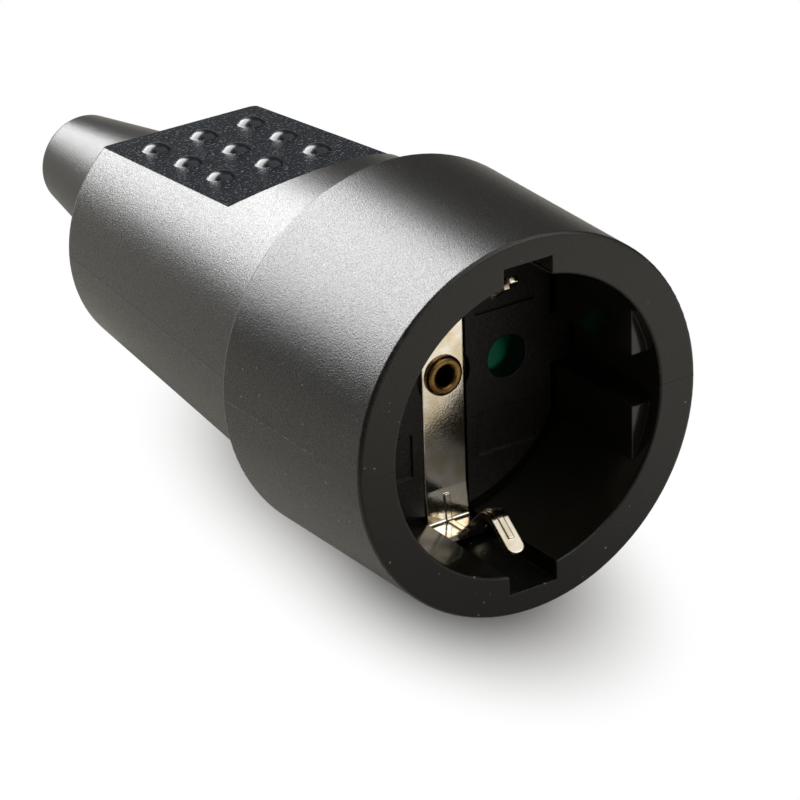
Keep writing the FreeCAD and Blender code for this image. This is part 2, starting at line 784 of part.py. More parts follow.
def fork_contact(label, hand):
    """Folded fork with flared lips that grips one pin of the plug."""
    thickness = dim.contact_thickness.value
    leaf = (dim.contact_gap.value + thickness) / 2
    lip = leaf + dim.contact_flare.value
    front = contact_front.value
    web = contact_web.value
    lip_end = front + dim.contact_lip_length.value
    middle = hand * pin_across.value
    side = [(-lip, front), (-leaf, lip_end), (-leaf, web), (leaf, web), (leaf, lip_end), (lip, front)]
    corners = [FreeCAD.Vector(middle + across, along, 0) for across, along in side]
    bend = dim.contact_bend.value
    lip_bend = dim.contact_lip_bend.value
    bends = [lip_bend, bend, bend, lip_bend]
    fork = folded_sheet(corners, bends, thickness, FreeCAD.Vector(0, 0, 1), 0, dim.contact_height.value)
    return shape_piece(label, fork)


def terminal(label, middle, start):
    half = dim.terminal_width / 2
    height = dim.terminal_height / 2
    block = box(f"{label}_block", (middle - half, start, -height), (middle + half, terminal_end, height))
    centre = (start + terminal_end) / 2
    wire = cylinder(f"{label}_wire_hole", dim.wire_hole_radius, terminal_end - start, (middle, start, 0))
    hole = dim.screw_radius + dim.screw_hole_gap
    thread = cylinder(f"{label}_screw_hole", hole, height, (middle, centre, 0), "z")
    return cut(label, block, [wire, thread])


def screw(name, spot, tip, head, up=1):
    """Slotted screw along z from the tip to the underside of its head."""
    low, high = (tip, head) if up > 0 else (head, tip)
    shank = cylinder(f"{name}_shank", dim.screw_radius, high - low, (*spot, low), "z")
    base = head if up > 0 else head - dim.screw_head_thickness
    cap = cylinder(f"{name}_head", dim.screw_head_radius, dim.screw_head_thickness, (*spot, base), "z")
    whole = fuse(f"{name}_whole", [shank, cap])
    half = dim.screw_slot_width / 2
    reach = dim.screw_head_radius
    top = head + up * dim.screw_head_thickness
    floor = top - up * dim.screw_slot_depth
    bottom, crest = (floor, top) if up > 0 else (top, floor)
    low = (spot[0] - half, spot[1] - reach, bottom)
    high = (spot[0] + half, spot[1] + reach, crest)
    return cut(name, whole, [box(f"{name}_slot", low, high)])


def group(label, solids):
    together = doc.addObject("Part::Compound", label)
    together.Links = solids
    return together


def earth_tail():
    """Angle strip under the rivet's flare that carries the earth terminal."""
    thickness = dim.tail_thickness.value
    half = dim.terminal_height.value / 2
    start = earth_pocket_start.value + thickness / 2
    level = -half - thickness / 2
    corners = [
        FreeCAD.Vector(0, start, half),
        FreeCAD.Vector(0, start, level),
        FreeCAD.Vector(0, terminal_end.value, level),
    ]
    strip = folded_sheet(corners, [thickness], thickness, FreeCAD.Vector(1, 0, 0), 0, dim.tail_width.value)
    hole = Part.makeCylinder(
        (dim.rivet_radius + dim.rivet_hole_gap).value, 2 * thickness,
        FreeCAD.Vector(0, start - thickness, 0), FreeCAD.Vector(0, 1, 0))
    return shape_piece("earth_tail", strip.cut(hole))


def cord_clamp():
    half = dim.clamp_length / 2
    front = dim.clamp_along - half
    rear = dim.clamp_along + half
    top = clamp_seat + dim.clamp_thickness
    bar = box("clamp_bar", (-clamp_half_width, front, clamp_seat), (clamp_half_width, rear, top))
    tools = [cylinder("clamp_arch", dim.cable_radius, dim.clamp_length, (0, front, 0))]
    for hand, name in ((-1, "left"), (1, "right")):
        spot = (hand * clamp_screw_across, dim.clamp_along, clamp_seat)
        hole = dim.screw_radius + dim.screw_hole_gap
        tools.append(cylinder(f"clamp_{name}_hole", hole, dim.clamp_thickness, spot, "z"))
    return cut("cord_clamp", bar, tools)


def rest_pose():
    """Tips the connector back until the rear edges of the collar and the lower panel touch the table."""
    run = (dim.handle_end - dim.collar_length + collar_round).value
    drop = (dim.collar_radius - collar_round - panel_level(dim.handle_end)).value
    pitch = math.atan2(drop, run) + math.asin(collar_round.value / math.hypot(run, drop))
    turn = FreeCAD.Rotation(FreeCAD.Vector(1, 0, 0), -math.degrees(pitch))
    return FreeCAD.Placement(FreeCAD.Vector(0, 0, 0), turn)


terminal_top = dim.terminal_height / 2 + dim.head_gap
earth_start = earth_pocket_start + dim.tail_thickness + dim.rivet_flare_thickness + dim.head_gap
pin_screw_along = (web_rear + terminal_end) / 2
earth_screw_along = (earth_start + terminal_end) / 2
shell_seat = -dim.shell_screw_seat
clamp_top = clamp_seat + dim.clamp_thickness
clamp_tip = -dim.clamp_screw_tip
shell_tip = dim.shell_screw_tip

terminal_screw_spots = [(-pin_across, pin_screw_along), (0, earth_screw_along), (pin_across, pin_screw_along)]
terminal_screws = [
    screw(f"terminal_screw_{index}", spot, dim.terminal_screw_tip, terminal_top)
    for index, spot in enumerate(terminal_screw_spots)
]
clamp_screws = [
    screw(f"clamp_screw_{index}", (hand * clamp_screw_across, dim.clamp_along), clamp_tip, clamp_top)
    for index, hand in enumerate((-1, 1))
]
shell_screws = [
    screw(f"shell_screw_{index}", (hand * dim.post_across, dim.post_along), shell_tip, shell_seat, up=-1)
    for index, hand in enumerate((-1, 1))
]

pieces = {
    "upper_shell": upper_shell(),
    "lower_shell": lower_shell(),
    "cable_sleeve": cable_sleeve(),
    "contact_plate": contact_plate(),
    "contact_base": contact_base(),
    "earth_strap": earth_strap(),
    "centre_rivet": centre_rivet(),
    "shutter": shutter(),
    "shutter_spring": shutter_spring(),
    "left_contact": fork_contact("left_contact", -1),
    "right_contact": fork_contact("right_contact", 1),
    "left_terminal": terminal("left_terminal", -pin_across, web_rear),
    "right_terminal": terminal("right_terminal", pin_across, web_rear),
    "earth_tail": earth_tail(),
    "earth_terminal": terminal("earth_terminal", as_size(0), earth_start),
    "terminal_screws": group("terminal_screws", terminal_screws),
    "cord_clamp": cord_clamp(),
    "clamp_screws": group("clamp_screws", clamp_screws),
    "shell_screws": group("shell_screws", shell_screws),
}

for label, piece in pieces.items():
    piece.Label = label
    piece.Placement = rest_pose()
doc.recompute()

for item in doc.Objects:
    if "Invalid" in item.State or "Error" in item.State:
        raise RuntimeError(f"{item.Label} failed: {item.State}")
for label, piece in pieces.items():
    if piece.Shape.isNull() or not piece.Shape.isValid():
        raise RuntimeError(f"{label} has no valid shape")

os.makedirs("parts", exist_ok=True)
for label, piece in pieces.items():
    piece.Shape.exportStep(f"parts/{label}.step")
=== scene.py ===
# %% [markdown]
# # An inline socket connector in satin black plastic
# This lesson dresses a packed construction model of a mains socket that sits at the end of a cord. The
# moulded shells, the face and the metal parts already have their true shapes, so they stay where they
# are. The work here is in their finishes, in the small spring, which needs finer modelling, and in the
# light of a plain white studio.

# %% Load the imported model
import json
import math

import bpy
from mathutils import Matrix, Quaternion, Vector


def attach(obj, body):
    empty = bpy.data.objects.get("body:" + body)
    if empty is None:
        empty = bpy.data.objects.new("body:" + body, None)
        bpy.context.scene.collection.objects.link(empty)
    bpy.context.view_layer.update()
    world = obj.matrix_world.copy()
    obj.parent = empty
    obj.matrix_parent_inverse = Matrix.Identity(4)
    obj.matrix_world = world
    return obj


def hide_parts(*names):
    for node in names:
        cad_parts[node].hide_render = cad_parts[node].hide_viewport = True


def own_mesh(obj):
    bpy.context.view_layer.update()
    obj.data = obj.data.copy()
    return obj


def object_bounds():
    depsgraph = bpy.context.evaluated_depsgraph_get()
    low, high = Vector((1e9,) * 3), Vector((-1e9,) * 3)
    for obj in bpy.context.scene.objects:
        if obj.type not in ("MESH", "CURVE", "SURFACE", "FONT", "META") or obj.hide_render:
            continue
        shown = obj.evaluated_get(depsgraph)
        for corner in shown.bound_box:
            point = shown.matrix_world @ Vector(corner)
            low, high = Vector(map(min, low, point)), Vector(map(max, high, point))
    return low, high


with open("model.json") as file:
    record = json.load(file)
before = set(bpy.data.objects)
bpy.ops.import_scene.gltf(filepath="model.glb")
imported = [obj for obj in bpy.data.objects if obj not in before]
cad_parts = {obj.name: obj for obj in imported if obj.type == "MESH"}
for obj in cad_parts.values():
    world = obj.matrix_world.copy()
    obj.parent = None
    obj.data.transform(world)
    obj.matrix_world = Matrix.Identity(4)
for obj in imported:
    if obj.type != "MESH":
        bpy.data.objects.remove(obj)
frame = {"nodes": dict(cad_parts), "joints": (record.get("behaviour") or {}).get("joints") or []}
cad_low, cad_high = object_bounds()
MM = 0.001
nodes = frame["nodes"]
joint = frame["joints"][0]

# %% [markdown]
# ## The socket's own axis
# The connector lies on the table with its mouth tipped up, so its axis isn't along any world axis. The
# shutter turns about that same axis, and its joint tells how far it dips. Most patterns below are easier
# to write in the socket's own coordinates: x across, y from the mouth to the cable end, z up from the
# split line.

# %% The dip of the axis
axis = Vector(joint["axis"])
DIP = math.atan2(-axis.z, axis.y)
print("axis dips by", round(math.degrees(DIP), 3), "degrees")

# %% [markdown]
# ## Writing shader maths as plain sums
# A finish is easier to read as `1 - mask * 0.5` than as a list of links. A small class wraps one output
# of a node, and its operators add the Math nodes.

# %% Outputs with arithmetic
class Signal:
    """One output of a shader node. Sums and products with it add Math nodes."""

    def __init__(self, finish, socket):
        self.finish = finish
        self.socket = socket

    def math(self, operation, *others):
        inputs = dict(enumerate((self, *others)))
        return self.finish.node("ShaderNodeMath", {"operation": operation}, inputs)

    def __add__(self, other):
        return self.math("ADD", other)

    def __sub__(self, other):
        return self.math("SUBTRACT", other)

    def __rsub__(self, other):
        return self.finish.node("ShaderNodeMath", {"operation": "SUBTRACT"}, {0: other, 1: self})

    def __mul__(self, other):
        return self.math("MULTIPLY", other)

    __radd__ = __add__
    __rmul__ = __mul__

    def size(self):
        return self.math("ABSOLUTE")

    def step(self, low, high):
        """Rises smoothly from 0 at low to 1 at high."""
        inputs = {"Value": self, "From Min": low, "From Max": high}
        return self.finish.node("ShaderNodeMapRange", {"interpolation_type": "SMOOTHSTEP"}, inputs)


# %% [markdown]
# ## A finish
# A finish is one material. One method makes every node of it from the kind, the settings and the inputs,
# and the others are the few things that a moulded or plated surface needs: a place in the socket's own
# axes, grain, specks, blended colours, and relief. The relief starts from a normal that is rounded at
# edges, because no real edge is quite sharp, and that lets edges catch the light.

# %% The finish class
EDGE_WEAR = 0.25 * MM
EDGE_SAMPLES = 6
MIX_SOCKETS = {"RGBA": (6, 7, 2), "VECTOR": (4, 5, 1)}


class Finish:
    """A material with one Principled shader, and the method that adds nodes to it."""

    def __init__(self, name):
        self.material = bpy.data.materials.new(name)
        self.material.use_nodes = True
        self.tree = self.material.node_tree
        self.shader = self.tree.nodes["Principled BSDF"]

    def node(self, kind, settings, inputs, output=0):
        """Adds one node. The settings come first, because they decide which inputs there are."""
        made = self.tree.nodes.new(kind)
        for name, value in settings.items():
            setattr(made, name, value)
        for socket, value in inputs.items():
            self.feed(made.inputs[socket], value)
        return Signal(self, made.outputs[output])

    def feed(self, socket, value):
        if isinstance(value, Signal):
            self.tree.links.new(value.socket, socket)
        else:
            socket.default_value = value

    def outlets(self, signal, names):
        """Named outputs of the node that a signal comes from."""
        outputs = signal.socket.node.outputs
        return [Signal(self, outputs[name]) for name in names]

    def set(self, **values):
        """Sets sockets of the shader: Base_Color stands for Base Color."""
        for name, value in values.items():
            self.feed(self.shader.inputs[name.replace("_", " ")], value)

    def place(self):
        """Position in the socket's own axes, in metres."""
        here = self.node("ShaderNodeTexCoord", {}, {}, "Object")
        return self.node("ShaderNodeMapping", {}, {"Vector": here, "Rotation": (DIP, 0, 0)})

    def parts(self, place):
        return self.outlets(self.node("ShaderNodeSeparateXYZ", {}, {"Vector": place}), "XYZ")

    def noise(self, place, grain_mm, detail=2.0, roughness=0.5):
        inputs = {"Vector": place, "Scale": 1 / (grain_mm * MM), "Detail": detail, "Roughness": roughness}
        return self.node("ShaderNodeTexNoise", {}, inputs)

    def specks(self, place, spacing_mm, share):
        """Sparse round specks: 1 at a speck's middle and 0 between them."""
        cells = self.node("ShaderNodeTexVoronoi", {}, {"Vector": place, "Scale": 1 / (spacing_mm * MM)})
        return 1 - cells.step(0.0, share)

    def mix(self, factor, first, second, kind="RGBA"):
        """Blends two colours, or two directions if the kind is VECTOR."""
        one, other, output = MIX_SOCKETS[kind]
        inputs = {0: factor, one: first, other: second}
        return self.node("ShaderNodeMix", {"data_type": kind}, inputs, output)

    def relief(self, height, depth_mm, strength, sharp=None):
        """Turns a height from 0 to 1 into a bumped normal, with edges worn round except where sharp is 1."""
        worn = self.node("ShaderNodeBevel", {"samples": EDGE_SAMPLES}, {"Radius": EDGE_WEAR})
        if sharp is not None:
            plain = self.node("ShaderNodeNewGeometry", {}, {}, "Normal")
            worn = self.mix(sharp, worn, plain, "VECTOR")
        inputs = {"Height": height, "Distance": depth_mm * MM, "Strength": strength, "Normal": worn}
        self.set(Normal=self.node("ShaderNodeBump", {}, inputs))


# %% [markdown]
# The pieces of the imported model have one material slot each, and a finish goes into that slot. Several
# pieces can wear the same finish, as several mouldings come from the same plastic.

# %% Putting a finish on
def wear(finish, *names):
    """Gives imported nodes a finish."""
    for name in names:
        nodes[name].material_slots[0].material = finish.material
    print(f"{finish.material.name}: {len(finish.tree.nodes)} nodes, on {', '.join(names)}")


# %% [markdown]
# ## Satin black shells
# The two half shells are moulded in black plastic from a spark-eroded tool, which leaves a fine grain.
# Under a broad lamp the grain breaks the highlight into a sandy pattern. The sunk grip panel has a
# coarser grain that sparkles, partly through its relief and partly through painted grey specks, the front
# of the rim is plainer, and a hairline shows where the halves meet.
# All of this is one finish, because it is one plastic: masks in the socket's own axes say where each
# surface lies. The first two find the grip panel, which lies at an even depth below the tapering handle,
# and the domes that stand on it.

# %% Where the grip panel and its domes lie
COLLAR_END = 29.7 * MM
HANDLE_RADIUS = 22.4 * MM
HANDLE_END = 79.2 * MM
HANDLE_END_RADIUS = 18.0 * MM
PANEL_DEPTH = 4.45 * MM
PANEL_START = 46.3 * MM
PANEL_SLACK = 0.05 * MM
DOME_REACH = 1.2 * MM
DOME_FOOT = (0.03 * MM, 0.15 * MM)

handle_taper = (HANDLE_RADIUS - HANDLE_END_RADIUS) / (HANDLE_END - COLLAR_END)
shell = Finish("satin black shell")
place = shell.place()
across, along, up = shell.parts(place)
panel_level = HANDLE_RADIUS - PANEL_DEPTH - handle_taper * (along - COLLAR_END)
above_panel = up.size() - panel_level
on_panel = above_panel.math("LESS_THAN", DOME_REACH) * along.math("GREATER_THAN", PANEL_START)
on_panel = on_panel * above_panel.math("GREATER_THAN", -PANEL_SLACK)
on_dome = on_panel * above_panel.step(*DOME_FOOT)
print("handle narrows by", round(handle_taper, 4), "mm a side per mm")

# %% [markdown]
# The front of the rim is the first bit along the axis, and the recess is what lies nearer to the axis
# than its wall. The split line runs at the height of the axis. On the collar's rear edge, a narrow band is
# painted paler: a painted highlight where the rounded edge catches the light.

# %% Where the rim, the recess, the split line and the painted edge highlight lie
RECESS_WALL = 20.0 * MM
RECESS_MOUTH = 0.3 * MM
FRONT_DEPTH = (0.02 * MM, 0.25 * MM)
SEAM_EDGE = (0.03 * MM, 0.08 * MM)
SHARP_BY_SEAM = 0.4 * MM
# painted highlight: the band on the collar's rear edge that is painted paler
EDGE_HIGHLIGHT_BAND = (COLLAR_END - 0.30 * MM, COLLAR_END - 0.14 * MM)
EDGE_HIGHLIGHT_RADIUS = 24.6 * MM

on_front = 1 - along.step(*FRONT_DEPTH)
on_collar = along.math("LESS_THAN", COLLAR_END)
from_axis = (across * across + up * up).math("SQRT")
in_recess = from_axis.math("LESS_THAN", RECESS_WALL) * on_collar
in_recess = in_recess * along.math("GREATER_THAN", RECESS_MOUTH)
seam = 1 - up.size().step(*SEAM_EDGE)
near_seam = up.size().math("LESS_THAN", SHARP_BY_SEAM)
rear_edge_highlight = along.step(*EDGE_HIGHLIGHT_BAND) * on_collar * from_axis.math("GREATER_THAN", EDGE_HIGHLIGHT_RADIUS)
print("masks of the shell take", len(shell.tree.nodes), "nodes")

# %% [markdown]
# Sparks leave pits of several sizes in the tool. Noise in the solid gives them without seams, because it
# runs on over edges and round corners: a fine grain for the relief, a grit of about that size for the
# sheen, a coarser sand for the grip panel, whose highest grains carry a painted sparkle of grey specks,
# and a slow cloud for the tone of the plastic.

# %% Grain, grit, sand and painted sparkle
FINE_GRAIN_MM = 0.18
GRIT_MM = 0.17
SAND_MM = 0.34
CLOUD_MM = 9.0
GRIT_EDGE = (0.38, 0.62)
PAINTED_SPARKLE_EDGE = (0.59, 0.66)

fine_grain = shell.noise(place, FINE_GRAIN_MM, detail=1.0)
grit = shell.noise(place, GRIT_MM, detail=1.0, roughness=0.7).step(*GRIT_EDGE)
sand = shell.noise(place, SAND_MM, detail=2.0, roughness=0.7)
cloud = shell.noise(place, CLOUD_MM, detail=3.0)
between_domes = on_panel - on_dome
# painted sparkle: grey specks where the sand is highest, between the domes
painted_sparkle = sand.step(*PAINTED_SPARKLE_EDGE) * between_domes
print("grains in mm:", FINE_GRAIN_MM, GRIT_MM, SAND_MM)

# %% [markdown]
# A used connector isn't clean. Dust specks lie on the rim and on the collar, fainter towards the top,
# where a hand wipes them off. A cell pattern gives one speck to a cell, so they are sparse and never in
# rows. On the left of the collar, the split line is painted paler, in broken dashes.

# %% Dust, and pale dashes on the split line
DUST_SPACING_MM = 1.9
DUST_SHARE = 0.10
DUST_WIPED = 0.8
DUST_HEIGHT = (-4 * MM, 12 * MM)
DASH_MM = 0.7
DASH_EDGE = (0.40, 0.60)
PALE_SEAM_START = (8 * MM, 11 * MM)
PALE_SEAM_SIDE = (-6 * MM, 0.0)

dusty = on_collar * (1 - in_recess) * (1 - DUST_WIPED * up.step(*DUST_HEIGHT))
dust = shell.specks(place, DUST_SPACING_MM, DUST_SHARE) * dusty
broken = shell.noise(place, DASH_MM, detail=3.0).step(*DASH_EDGE)
on_left = 1 - across.step(*PALE_SEAM_SIDE)
pale_seam = seam * broken * on_collar * along.step(*PALE_SEAM_START) * on_left
print("dust specks every", DUST_SPACING_MM, "mm or so")

# %% [markdown]
# The colours go over each other like coats of paint, each where its mask is: first the moulded black,
# last the painted highlight on the collar's rear edge. The rim's front is painted paler at its top, as
# painted light where it meets more light.

# %% Shell colours
MOULDED_BLACKS = ((0.0050, 0.0049, 0.0044, 1), (0.0072, 0.0070, 0.0063, 1))
PANEL_BLACK = (0.0030, 0.0050, 0.0085, 1)
# painted sparkle: grey specks that stand in for glints of the sand grains
PAINTED_SPARKLE_GREY = (0.105, 0.119, 0.135, 1)
# painted light: the rim's front goes from a shaded black at the bottom to a lit, paler black at the top
FRONT_SHADED_AND_LIT_BLACKS = ((0.0012, 0.0010, 0.0006, 1), (0.024, 0.022, 0.0165, 1))
FRONT_PAINTED_LIGHT_RISE = (-20 * MM, 22 * MM)
# painted light: the recess is painted paler than the shell, to stand for light in its shade, and it is
# warmer in tone
RECESS_PAINTED_LIGHT_BLACK = (0.012, 0.011, 0.007, 1)
DUST_GREY = (0.45, 0.42, 0.36, 1)
SEAM_BLACK = (0.001, 0.001, 0.001, 1)
SEAM_SHADE = 0.7
SEAM_GREY = (0.13, 0.12, 0.10, 1)
# painted highlight on the collar's rear edge
PAINTED_EDGE_HIGHLIGHT_GREY = (0.035, 0.033, 0.028, 1)

coats = [
    (on_panel, PANEL_BLACK),
    (painted_sparkle, PAINTED_SPARKLE_GREY),
    (on_front, shell.mix(up.step(*FRONT_PAINTED_LIGHT_RISE), *FRONT_SHADED_AND_LIT_BLACKS)),
    (in_recess, RECESS_PAINTED_LIGHT_BLACK),
    (dust, DUST_GREY),
    (seam * SEAM_SHADE, SEAM_BLACK),
    (pale_seam, SEAM_GREY),
    (rear_edge_highlight, PAINTED_EDGE_HIGHLIGHT_GREY),
]
black = shell.mix(cloud, *MOULDED_BLACKS)
for mask, colour in coats:
    black = shell.mix(mask, black, colour)
shell.set(Base_Color=black)
print("shell colours:", len(coats), "coats over the moulded black")

# %% [markdown]
# The plastic is satin, duller on the rim's front and glossier in the recess, where the tool was polished.
# On the grained skin the tips of the grains are burnished and the pits are not. A thin coat whose weight
# follows the grit gives that salt-and-pepper look inside the highlight. Noise swings about a half, so a
# roughness that varies with it is written as a middle value plus a share of the swing.

# %% Shell sheen
NOISE_MIDDLE = 0.5
SATIN = 0.285
GRAIN_SWING = 0.03
FRONT_DULLER = 0.12
PANEL_GLOSSIER = 0.07
DOME_DULLER = 0.02
RECESS_GLOSSIER = 0.13
SEAM_DULLER = 0.25
SHELL_GLOSS = 0.47
PLAIN_SHEEN = 0.08
GRIT_SHEEN = 0.54
SHEEN_SATIN = 0.28

satin = SATIN + GRAIN_SWING * (fine_grain - NOISE_MIDDLE) + FRONT_DULLER * on_front
satin = satin - PANEL_GLOSSIER * on_panel + DOME_DULLER * on_dome
satin = satin - RECESS_GLOSSIER * in_recess + SEAM_DULLER * seam
gritty = (1 - on_panel) * (1 - on_front) * (1 - in_recess)
sheen = PLAIN_SHEEN + gritty * (GRIT_SHEEN * grit - PLAIN_SHEEN)
shell.set(Roughness=satin, Specular_IOR_Level=SHELL_GLOSS, Coat_Weight=sheen, Coat_Roughness=SHEEN_SATIN)
print("sheen of the shell from", PLAIN_SHEEN, "to", GRIT_SHEEN)

# %% [markdown]
# The relief has the fine grain on the skin, nearly none in the recess, coarse sand between the domes and
# a shallow groove along the split line. Worn round edges would draw a bright line beside that groove, so
# it stays sharp there.

# %% Shell relief
SHELL_DEPTH_MM = 0.056
SHELL_RELIEF = 0.8
FRONT_COARSER = 0.3
RECESS_POLISH = 0.9
PANEL_COARSENESS = 1.1
SEAM_GROOVE = 0.5

grained = (1 - on_panel) * (1 + FRONT_COARSER * on_front) * (1 - RECESS_POLISH * in_recess)
height = fine_grain * grained + PANEL_COARSENESS * sand * between_domes - SEAM_GROOVE * seam * on_collar
shell.relief(height, SHELL_DEPTH_MM, SHELL_RELIEF, near_seam)
wear(shell, "upper_shell", "lower_shell")

# %% [markdown]
# ## The cable sleeve
# The sleeve is moulded in a softer plastic, so that it bends with the cord. Its grain is shallower than
# that of the shells and has no burnished tips, so its highlight is more even. A painted grain would have
# to be wrapped round the taper, so noise in the solid serves here too.

# %% Sleeve plastic
SLEEVE_GRAIN_MM = 0.17
SLEEVE_CLOUD_MM = 6.0
SLEEVE_BLACKS = ((0.0055, 0.0055, 0.0052, 1), (0.0080, 0.0080, 0.0076, 1))
SLEEVE_SATIN = 0.29
SLEEVE_SWING = 0.04
SLEEVE_DEPTH_MM = 0.034
SLEEVE_RELIEF = 0.8

sleeve = Finish("soft black sleeve")
place = sleeve.place()
grain = sleeve.noise(place, SLEEVE_GRAIN_MM, detail=1.0)
cloud = sleeve.noise(place, SLEEVE_CLOUD_MM, detail=3.0)
sleeve.set(
    Base_Color=sleeve.mix(cloud, *SLEEVE_BLACKS),
    Roughness=SLEEVE_SATIN + SLEEVE_SWING * (grain - NOISE_MIDDLE),
)
sleeve.relief(grain, SLEEVE_DEPTH_MM, SLEEVE_RELIEF)
wear(sleeve, "cable_sleeve")

# %% [markdown]
# ## The face insert
# The insert at the bottom of the recess is a hard moulding with a coarse sandy texture: paler grains on a
# darker ground. One noise drives colour, roughness and relief, so that a pale grain is also a raised one.
# The base behind it and the cord clamp are moulded in the same way.

# %% Insert plastic
FACE_SAND_MM = 0.30
FACE_SAND_EDGE = (0.36, 0.66)
FACE_BLACKS = ((0.0040, 0.0034, 0.0021, 1), (0.0165, 0.0140, 0.0090, 1))
FACE_SATIN = 0.40
FACE_SWING = 0.15
FACE_DEPTH_MM = 0.11
FACE_RELIEF = 0.9

insert = Finish("sandy black insert")
sand = insert.noise(insert.place(), FACE_SAND_MM, detail=3.0, roughness=0.6)
insert.set(
    Base_Color=insert.mix(sand.step(*FACE_SAND_EDGE), *FACE_BLACKS),
    Roughness=FACE_SATIN + FACE_SWING * (sand - NOISE_MIDDLE),
)
insert.relief(sand, FACE_DEPTH_MM, FACE_RELIEF)
wear(insert, "contact_plate", "contact_base", "cord_clamp")

# %% [markdown]
# ## Nickel, bronze, brass and steel
# The earth strap is nickel-plated sheet: bright, with a fine pebble in the plating that breaks up
# whatever it mirrors. The hollow rivet is plain bronze. Contacts and terminals are brass, the screws have
# a zinc plate and the small spring is drawn steel wire. One function makes all five, because they differ
# only in their two tones, their grain and their polish.

# %% How a metal is finished
TONE_REACH = 12
TONE_EDGE = (0.3, 0.7)
PEBBLE_SWING = 0.12
PEBBLE_RELIEF = 0.6


def metal(name, dark, light, grain_mm, roughness, depth_mm):
    """Plated or bare metal with a pebbled surface and a slow change of tone."""
    finish = Finish(name)
    place = finish.place()
    pebble = finish.noise(place, grain_mm)
    tone = finish.noise(place, grain_mm * TONE_REACH, detail=3.0)
    finish.set(
        Base_Color=finish.mix(tone.step(*TONE_EDGE), (*dark, 1), (*light, 1)),
        Metallic=1.0,
        Roughness=roughness + PEBBLE_SWING * (pebble - NOISE_MIDDLE),
    )
    finish.relief(pebble, depth_mm, PEBBLE_RELIEF)
    return finish


# %% [markdown]
# The strap and the rivet show in the recess. The strap's plating is the brightest metal here, and the
# rivet the darkest. The brass contacts and terminals lie behind the face.

# %% Strap, rivet and contacts
nickel = metal(
    "bright nickel strap", dark=(0.74, 0.63, 0.45), light=(0.95, 0.89, 0.78),
    grain_mm=0.24, roughness=0.13, depth_mm=0.012,
)
bronze = metal(
    "bronze rivet", dark=(0.14, 0.072, 0.024), light=(0.40, 0.24, 0.085),
    grain_mm=0.25, roughness=0.26, depth_mm=0.012,
)
brass = metal(
    "rolled brass", dark=(0.58, 0.42, 0.17), light=(0.74, 0.57, 0.28),
    grain_mm=0.30, roughness=0.30, depth_mm=0.008,
)
wear(nickel, "earth_strap")
wear(bronze, "centre_rivet")
wear(brass, "left_contact", "right_contact", "left_terminal", "right_terminal")
wear(brass, "earth_tail", "earth_terminal")

# %% [markdown]
# Screws and spring wire are both grey, but the zinc plate is duller and coarser than the drawn wire.

# %% Screws and spring wire
zinc = metal(
    "zinc screws", dark=(0.45, 0.45, 0.44), light=(0.62, 0.61, 0.58),
    grain_mm=0.22, roughness=0.34, depth_mm=0.010,
)
wire = metal(
    "drawn spring wire", dark=(0.42, 0.42, 0.42), light=(0.58, 0.58, 0.57),
    grain_mm=0.15, roughness=0.28, depth_mm=0.004,
)
wear(zinc, "terminal_screws", "clamp_screws", "shell_screws")
wear(wire, "shutter_spring")

# %% [markdown]
# ## The green shutter
# Behind the pin holes sits a shutter in green plastic. It is satin, with faint flow marks from moulding.
# These marks only change the tone, so a slow noise between two greens is enough for them.

# %% Shutter plastic
FLOW_MARK_MM = 2.5
SHUTTER_GRAIN_MM = 0.25
SHUTTER_GREENS = ((0.006, 0.27, 0.135, 1), (0.012, 0.36, 0.185, 1))
SHUTTER_SATIN = 0.36
SHUTTER_SWING = 0.1
SHUTTER_DEPTH_MM = 0.008
SHUTTER_RELIEF = 0.5

green = Finish("green shutter")
place = green.place()
flow = green.noise(place, FLOW_MARK_MM, detail=4.0)
fine = green.noise(place, SHUTTER_GRAIN_MM)
green.set(
    Base_Color=green.mix(flow, *SHUTTER_GREENS),
    Roughness=SHUTTER_SATIN + SHUTTER_SWING * (fine - NOISE_MIDDLE),
)
green.relief(fine, SHUTTER_DEPTH_MM, SHUTTER_RELIEF)
wear(green, "shutter")

# %% [markdown]
# ## The shutter's spring
# A small compression spring pushes the shutter shut. A winding machine lays its first and last turns
# close together, so that the ends sit square, and opens the pitch between them. The same can be done with
# one wire section that is screwed three times: a close turn, open turns and a close turn, each a whole
# number of turns, so that they meet.

# %% One run of turns
WIRE = 0.35 * MM
WIRE_SIDES = 12
COIL_RADIUS = 1.0 * MM
TURN_STEPS = 28


def run_of_turns(start, turns, pitch):
    """Screws a round wire section about the x axis."""
    bpy.ops.object.select_all(action="DESELECT")
    bpy.ops.mesh.primitive_circle_add(vertices=WIRE_SIDES, radius=WIRE / 2, location=(0, 0, 0))
    section = bpy.context.object
    bpy.ops.object.mode_set(mode="EDIT")
    bpy.ops.mesh.select_all(action="SELECT")
    bpy.ops.transform.translate(value=(start, COIL_RADIUS, 0))
    bpy.ops.object.mode_set(mode="OBJECT")
    screw = section.modifiers.new("screw", "SCREW")
    screw.axis = "X"
    screw.iterations = turns
    screw.screw_offset = pitch
    screw.steps = TURN_STEPS
    screw.render_steps = TURN_STEPS
    bpy.ops.object.modifier_apply(modifier=screw.name)
    return section


# %% [markdown]
# The spring's length is given by its pocket. The wire and the two close turns take up a part of it, and
# the open turns share the rest.

# %% The three runs
SPRING_LOW = 1.55 * MM
SPRING_HIGH = 11.4 * MM
CLOSE_PITCH = 0.40 * MM
CLOSE_TURNS = 1
OPEN_TURNS = 4

